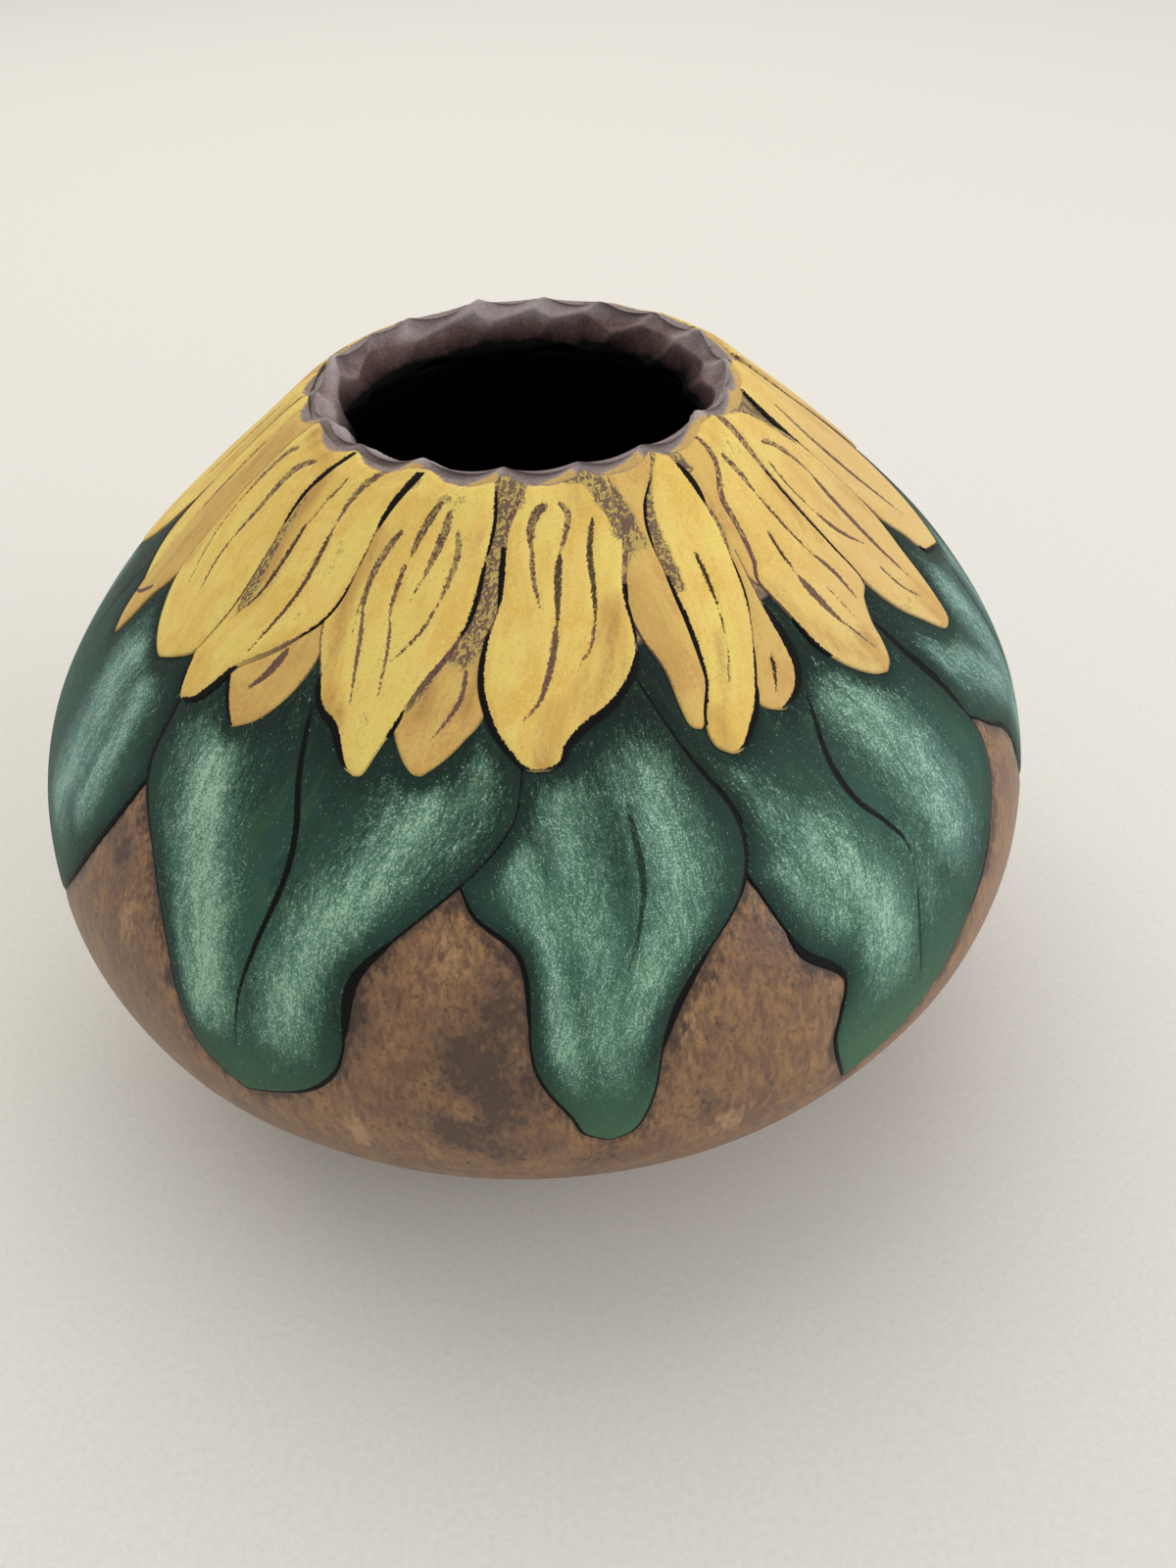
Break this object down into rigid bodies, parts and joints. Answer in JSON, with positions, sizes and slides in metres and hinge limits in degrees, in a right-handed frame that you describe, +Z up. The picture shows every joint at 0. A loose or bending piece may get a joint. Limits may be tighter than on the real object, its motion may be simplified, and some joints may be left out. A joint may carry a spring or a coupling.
{
  "type": "painted gourd vessel",
  "caption": "Squat hollow dried gourd with a cut, gouge-carved mouth, burnt outlines, painted yellow petals and dark green leaves, and a flat foot.",
  "frame": {"origin": "centre of the flat foot, on the surface that the gourd stands on", "axes": "+Z up through the mouth, -Y towards the viewer of the picture, +X to the viewer's right"},
  "size_m": [0.1719, 0.1716, 0.1251],
  "materials": {
    "gourd_skin": "stained dried gourd skin under a thin satin varnish",
    "carved_rim": "gouge-carved and stained dark umber, matte",
    "black_paint": "matte black paint",
    "petal_yellow": "brushed acrylic paint, satin",
    "petal_ochre": "brushed acrylic paint, satin",
    "leaf_green": "dry-brushed acrylic paint, satin"
  },
  "bodies": {
    "root": {"black_lining": "black_paint", "gourd_shell": "gourd_skin", "leaf_01": "leaf_green", "leaf_02": "leaf_green", "leaf_03": "leaf_green", "leaf_04": "leaf_green", "leaf_05": "leaf_green", "leaf_06": "leaf_green", "leaf_07": "leaf_green", "leaf_08": "leaf_green", "leaf_09": "leaf_green", "mouth_rim": "carved_rim", "petal_01": "petal_yellow", "petal_02": "petal_yellow", "petal_03": "petal_ochre", "petal_04": "petal_yellow", "petal_05": "petal_yellow", "petal_06": "petal_ochre", "petal_07": "petal_yellow", "petal_08": "petal_ochre", "petal_09": "petal_yellow", "petal_10": "petal_ochre", "petal_11": "petal_yellow", "petal_12": "petal_ochre", "petal_13": "petal_ochre", "petal_14": "petal_yellow", "petal_15": "petal_yellow", "petal_16": "petal_yellow", "petal_17": "petal_yellow", "petal_18": "petal_yellow", "petal_19": "petal_ochre", "petal_20": "petal_yellow", "petal_21": "petal_ochre", "petal_22": "petal_yellow", "petal_23": "petal_ochre", "petal_24": "petal_yellow", "petal_25": "petal_ochre", "petal_26": "petal_ochre", "petal_27": "petal_yellow", "petal_28": "petal_yellow", "petal_29": "petal_ochre"}
  },
  "joints": []
}
